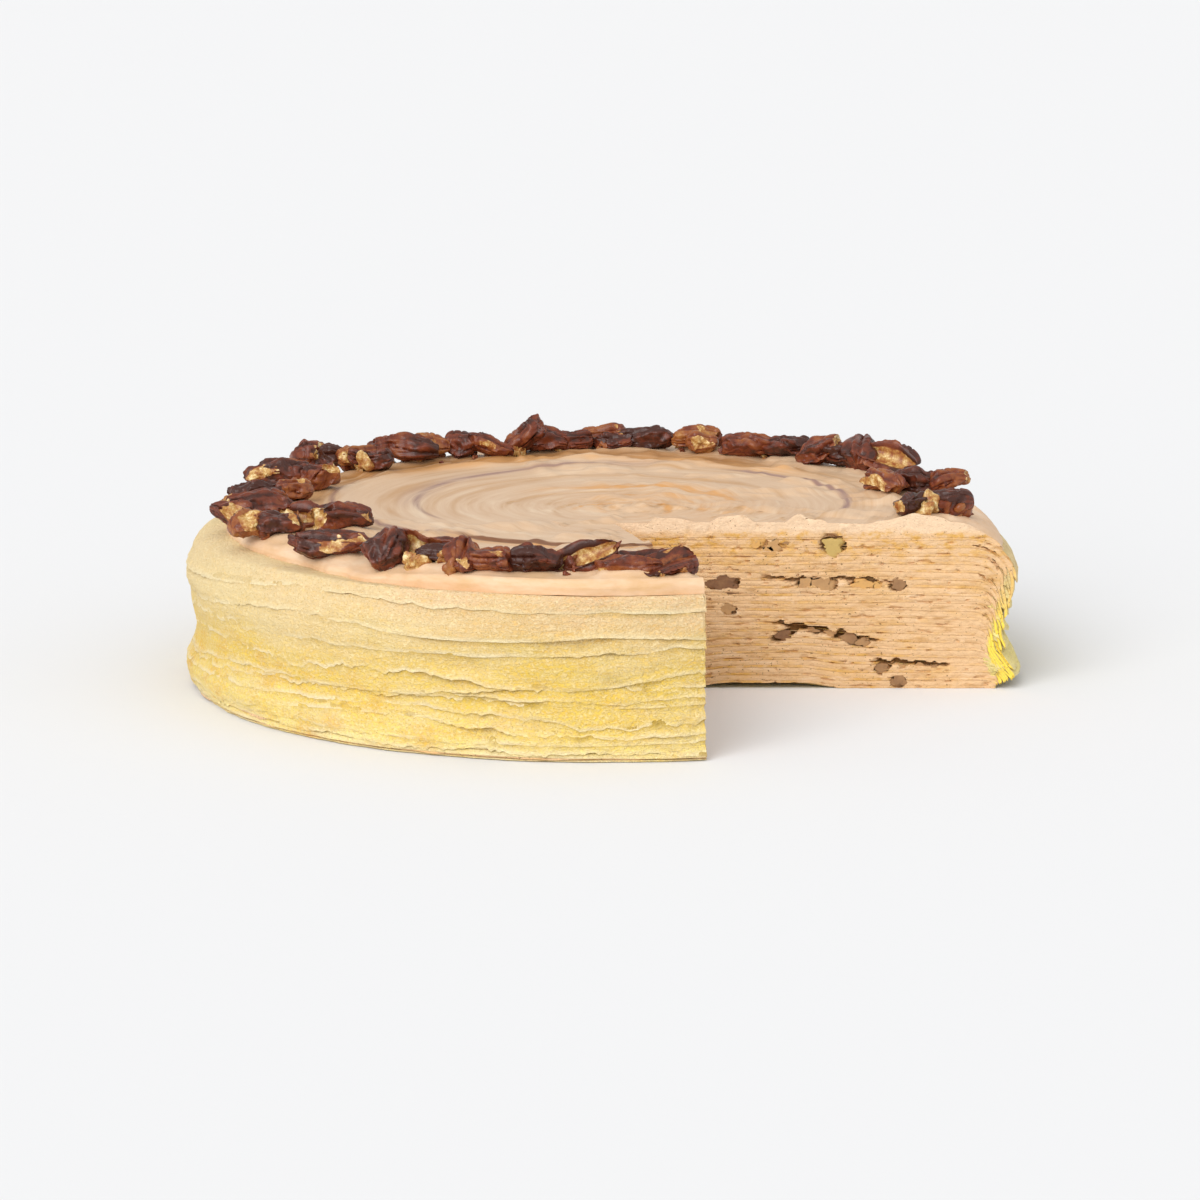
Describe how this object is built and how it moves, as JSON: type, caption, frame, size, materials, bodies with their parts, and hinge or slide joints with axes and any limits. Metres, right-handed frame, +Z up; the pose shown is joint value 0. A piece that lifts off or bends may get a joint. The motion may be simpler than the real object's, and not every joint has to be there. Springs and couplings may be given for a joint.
{
  "type": "crepe cake",
  "caption": "Round layered crepe cake with cream between its crepes, a swirled cream top, a ring of candied pecans and one slice cut out, for resting on a plate or cake stand.",
  "frame": {"origin": "centre of the full round outline of the underside, on the surface the cake rests on", "axes": "+Z up through the cake, -Y towards the front, +X to the right; the missing slice opens between +X and the front"},
  "size_m": [0.2286, 0.2286, 0.0566],
  "materials": {
    "crepe": "soft matte pan-cooked batter, pale golden yellow with browner specks and lacy pores",
    "cream": "matte whipped cream, pale peach tan with tiny dark specks, slightly smeared by the knife",
    "top_cream": "satin whipped cream, pale tan with a browner spatula swirl",
    "pecan": "glossy caramel-glazed nut skin, red-brown to purple-black, pale yellow where broken"
  },
  "bodies": {
    "root": {"crepe_01": "crepe", "crepe_02": "crepe", "crepe_03": "crepe", "crepe_04": "crepe", "crepe_05": "crepe", "crepe_06": "crepe", "crepe_07": "crepe", "crepe_08": "crepe", "crepe_09": "crepe", "crepe_10": "crepe", "crepe_11": "crepe", "crepe_12": "crepe", "crepe_13": "crepe", "crepe_14": "crepe", "crepe_15": "crepe", "crepe_16": "crepe", "crepe_17": "crepe", "crepe_18": "crepe", "crepe_19": "crepe", "crepe_20": "crepe", "cream_01": "cream", "cream_02": "cream", "cream_03": "cream", "cream_04": "cream", "cream_05": "cream", "cream_06": "cream", "cream_07": "cream", "cream_08": "cream", "cream_09": "cream", "cream_10": "cream", "cream_11": "cream", "cream_12": "cream", "cream_13": "cream", "cream_14": "cream", "cream_15": "cream", "cream_16": "cream", "cream_17": "cream", "cream_18": "cream", "cream_19": "cream", "cream_top": "top_cream", "pecans_01": "pecan", "pecans_02": "pecan", "pecans_03": "pecan", "pecans_04": "pecan", "pecans_05": "pecan", "pecans_06": "pecan", "pecans_07": "pecan", "pecans_08": "pecan", "pecans_09": "pecan", "pecans_10": "pecan", "pecans_11": "pecan", "pecans_12": "pecan", "pecans_13": "pecan", "pecans_14": "pecan", "pecans_15": "pecan", "pecans_16": "pecan", "pecans_17": "pecan", "pecans_18": "pecan", "pecans_19": "pecan", "pecans_20": "pecan"}
  },
  "joints": []
}
